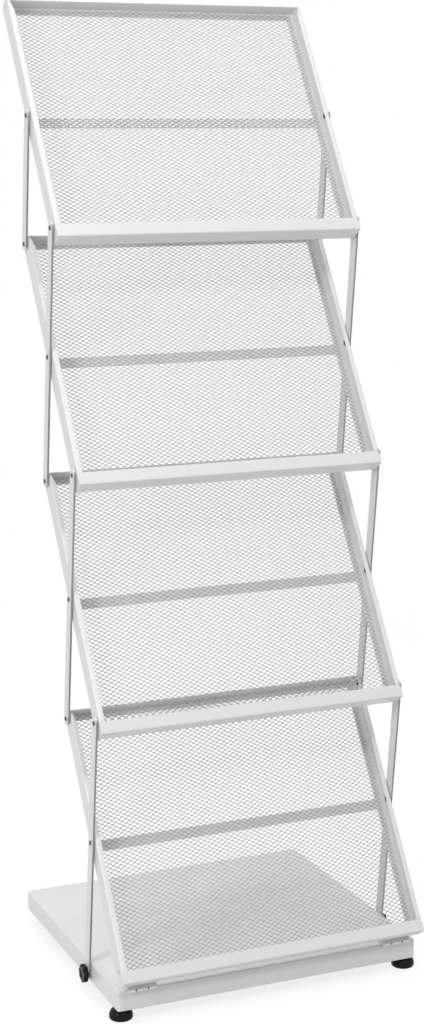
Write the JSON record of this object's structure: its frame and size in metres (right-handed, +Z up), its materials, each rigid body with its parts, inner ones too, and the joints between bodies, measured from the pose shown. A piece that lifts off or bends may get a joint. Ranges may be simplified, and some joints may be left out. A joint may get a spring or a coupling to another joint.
{
  "type": "folding literature display rack",
  "caption": "Folding floor rack for leaflets: leaning mesh trays with front lips, joined by a zig-zag of flat side bars and hinged to a low flat base on round levelling feet.",
  "frame": {"origin": "on the floor, midway across the width and the depth of the open rack", "axes": "+Z up, +X to the right of someone who faces the tray fronts, +Y to the rear"},
  "size_m": [0.5004, 0.4586, 1.4368],
  "materials": {
    "tray_coat": "pale silver-grey powder coat, semi-gloss",
    "mesh_coat": "pale silver-grey powder coat, semi-gloss",
    "bar_coat": "pale silver-grey powder coat, semi-gloss",
    "base_coat": "pale silver-grey powder coat, semi-gloss",
    "hinge_coat": "pale silver-grey powder coat, semi-gloss",
    "rivet_steel": "zinc-plated, satin",
    "washer_white": "white nylon, smooth",
    "fastener_steel": "zinc-plated, satin",
    "foot_black": "black moulded plastic, semi-gloss",
    "knob_black": "black moulded plastic, semi-gloss"
  },
  "bodies": {
    "base": {"base_pan": "base_coat", "corner_plates": "base_coat", "foot_nuts": "fastener_steel", "knob_nuts": "fastener_steel", "knob_washers": "washer_white", "hinge_base_leaves": "hinge_coat", "hinge_pins": "fastener_steel"},
    "tray_1": {"tray_1_left_rail": "tray_coat", "tray_1_right_rail": "tray_coat", "tray_1_top_rail": "tray_coat", "tray_1_lip": "tray_coat", "tray_1_strap": "tray_coat", "tray_1_mesh": "mesh_coat", "tray_1_rivets": "rivet_steel", "tray_1_washers": "washer_white"},
    "tray_2": {"tray_2_left_rail": "tray_coat", "tray_2_right_rail": "tray_coat", "tray_2_top_rail": "tray_coat", "tray_2_lip": "tray_coat", "tray_2_strap": "tray_coat", "tray_2_mesh": "mesh_coat", "tray_2_rivets": "rivet_steel", "tray_2_washers": "washer_white"},
    "tray_3": {"tray_3_left_rail": "tray_coat", "tray_3_right_rail": "tray_coat", "tray_3_top_rail": "tray_coat", "tray_3_lip": "tray_coat", "tray_3_strap": "tray_coat", "tray_3_mesh": "mesh_coat", "tray_3_rivets": "rivet_steel", "tray_3_washers": "washer_white"},
    "tray_4": {"tray_4_left_rail": "tray_coat", "tray_4_right_rail": "tray_coat", "tray_4_top_rail": "tray_coat", "tray_4_lip": "tray_coat", "tray_4_strap": "tray_coat", "tray_4_mesh": "mesh_coat", "tray_4_rivets": "rivet_steel", "tray_4_washers": "washer_white", "hinge_tray_leaves": "hinge_coat"},
    "bar_1_left": {"bar_1_left": "bar_coat"},
    "bar_1_right": {"bar_1_right": "bar_coat"},
    "bar_2_left": {"bar_2_left": "bar_coat"},
    "bar_2_right": {"bar_2_right": "bar_coat"},
    "bar_3_left": {"bar_3_left": "bar_coat"},
    "bar_3_right": {"bar_3_right": "bar_coat"},
    "bar_4_left": {"bar_4_left": "bar_coat"},
    "bar_4_right": {"bar_4_right": "bar_coat"},
    "knob_left": {"knob_head_left": "knob_black", "knob_stud_left": "fastener_steel"},
    "knob_right": {"knob_head_right": "knob_black", "knob_stud_right": "fastener_steel"},
    "foot_front_left": {"foot_pad_front_left": "foot_black", "foot_stud_front_left": "fastener_steel"},
    "foot_front_right": {"foot_pad_front_right": "foot_black", "foot_stud_front_right": "fastener_steel"},
    "foot_rear_left": {"foot_pad_rear_left": "foot_black", "foot_stud_rear_left": "fastener_steel"},
    "foot_rear_right": {"foot_pad_rear_right": "foot_black", "foot_stud_rear_right": "fastener_steel"}
  },
  "joints": [
    {"name": "fold", "type": "hinge", "parent": "base", "child": "tray_4", "pos_m": [0, -0.20741, 0.049], "axis": [-1, 0, 0], "range_deg": [0, 57.84]},
    {"name": "bar_4_left_pivot", "type": "hinge", "parent": "tray_4", "child": "bar_4_left", "pos_m": [0, -0.10916, 0.23907], "axis": [1, 0, 0], "range_deg": [0, 129.74]},
    {"name": "bar_4_right_pivot", "type": "hinge", "parent": "tray_4", "child": "bar_4_right", "pos_m": [0, -0.10916, 0.23907], "axis": [1, 0, 0], "range_deg": [0, 129.74]},
    {"name": "tray_3_pivot", "type": "hinge", "parent": "bar_4_left", "child": "tray_3", "pos_m": [0, -0.13483, 0.42379], "axis": [-1, 0, 0], "range_deg": [0, 129.74]},
    {"name": "bar_3_left_pivot", "type": "hinge", "parent": "tray_3", "child": "bar_3_left", "pos_m": [0, -0.03556, 0.58168], "axis": [1, 0, 0], "range_deg": [0, 129.74]},
    {"name": "bar_3_right_pivot", "type": "hinge", "parent": "tray_3", "child": "bar_3_right", "pos_m": [0, -0.03556, 0.58168], "axis": [1, 0, 0], "range_deg": [0, 129.74]},
    {"name": "tray_2_pivot", "type": "hinge", "parent": "bar_3_left", "child": "tray_2", "pos_m": [0, -0.06122, 0.7664], "axis": [-1, 0, 0], "range_deg": [0, 129.74]},
    {"name": "bar_2_left_pivot", "type": "hinge", "parent": "tray_2", "child": "bar_2_left", "pos_m": [0, 0.03805, 0.92429], "axis": [1, 0, 0], "range_deg": [0, 129.74]},
    {"name": "bar_2_right_pivot", "type": "hinge", "parent": "tray_2", "child": "bar_2_right", "pos_m": [0, 0.03805, 0.92429], "axis": [1, 0, 0], "range_deg": [0, 129.74]},
    {"name": "tray_1_pivot", "type": "hinge", "parent": "bar_2_left", "child": "tray_1", "pos_m": [0, 0.01238, 1.10901], "axis": [-1, 0, 0], "range_deg": [0, 129.74]},
    {"name": "bar_1_left_pivot", "type": "hinge", "parent": "tray_1", "child": "bar_1_left", "pos_m": [0, 0.11166, 1.2669], "axis": [1, 0, 0], "range_deg": [0, 129.74]},
    {"name": "bar_1_right_pivot", "type": "hinge", "parent": "tray_1", "child": "bar_1_right", "pos_m": [0, 0.11166, 1.2669], "axis": [1, 0, 0], "range_deg": [0, 129.74]},
    {"name": "knob_left_turn", "type": "hinge", "parent": "base", "child": "knob_left", "pos_m": [-0.238, -0.07995, 0.0288], "axis": [1, 0, 0], "continuous": true},
    {"name": "knob_right_turn", "type": "hinge", "parent": "base", "child": "knob_right", "pos_m": [0.238, -0.07995, 0.0288], "axis": [1, 0, 0], "continuous": true},
    {"name": "foot_front_left_turn", "type": "hinge", "parent": "base", "child": "foot_front_left", "pos_m": [-0.227, -0.18401, 0], "axis": [0, 0, 1], "continuous": true},
    {"name": "foot_front_right_turn", "type": "hinge", "parent": "base", "child": "foot_front_right", "pos_m": [0.227, -0.18401, 0], "axis": [0, 0, 1], "continuous": true},
    {"name": "foot_rear_left_turn", "type": "hinge", "parent": "base", "child": "foot_rear_left", "pos_m": [-0.208, 0.20499, 0], "axis": [0, 0, 1], "continuous": true},
    {"name": "foot_rear_right_turn", "type": "hinge", "parent": "base", "child": "foot_rear_right", "pos_m": [0.208, 0.20499, 0], "axis": [0, 0, 1], "continuous": true}
  ],
  "couplings": [
    {"joint": "bar_4_left_pivot", "follows": "fold", "ratio": 2.2431},
    {"joint": "bar_4_right_pivot", "follows": "fold", "ratio": 2.2431},
    {"joint": "tray_3_pivot", "follows": "fold", "ratio": 2.2431},
    {"joint": "bar_3_left_pivot", "follows": "fold", "ratio": 2.2431},
    {"joint": "bar_3_right_pivot", "follows": "fold", "ratio": 2.2431},
    {"joint": "tray_2_pivot", "follows": "fold", "ratio": 2.2431},
    {"joint": "bar_2_left_pivot", "follows": "fold", "ratio": 2.2431},
    {"joint": "bar_2_right_pivot", "follows": "fold", "ratio": 2.2431},
    {"joint": "tray_1_pivot", "follows": "fold", "ratio": 2.2431},
    {"joint": "bar_1_left_pivot", "follows": "fold", "ratio": 2.2431},
    {"joint": "bar_1_right_pivot", "follows": "fold", "ratio": 2.2431}
  ]
}
